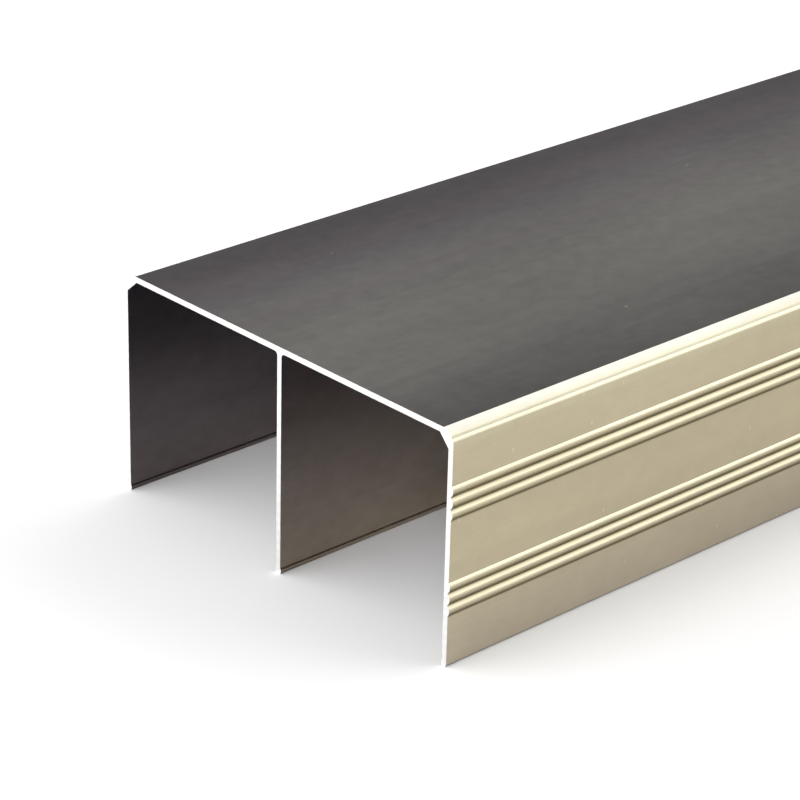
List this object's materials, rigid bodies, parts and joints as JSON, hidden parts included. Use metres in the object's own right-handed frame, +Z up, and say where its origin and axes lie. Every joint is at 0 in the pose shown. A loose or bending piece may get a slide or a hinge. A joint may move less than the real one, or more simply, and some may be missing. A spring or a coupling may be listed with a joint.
{
  "type": "double top track",
  "caption": "Straight aluminium top track: a flat plate with open channels side by side below it and a ribbed fascia along one edge.",
  "frame": {"origin": "midway between the outer flanges and midway along the length, level with the feet of the flanges", "axes": "+X across the section towards the ribbed fascia, +Y along the length, +Z up through the top plate"},
  "size_m": [0.0803, 1, 0.0405],
  "materials": {
    "champagne_aluminium": "satin champagne anodised, bare metal at the sawn ends"
  },
  "bodies": {
    "root": {"double_track_profile": "champagne_aluminium"}
  },
  "joints": []
}
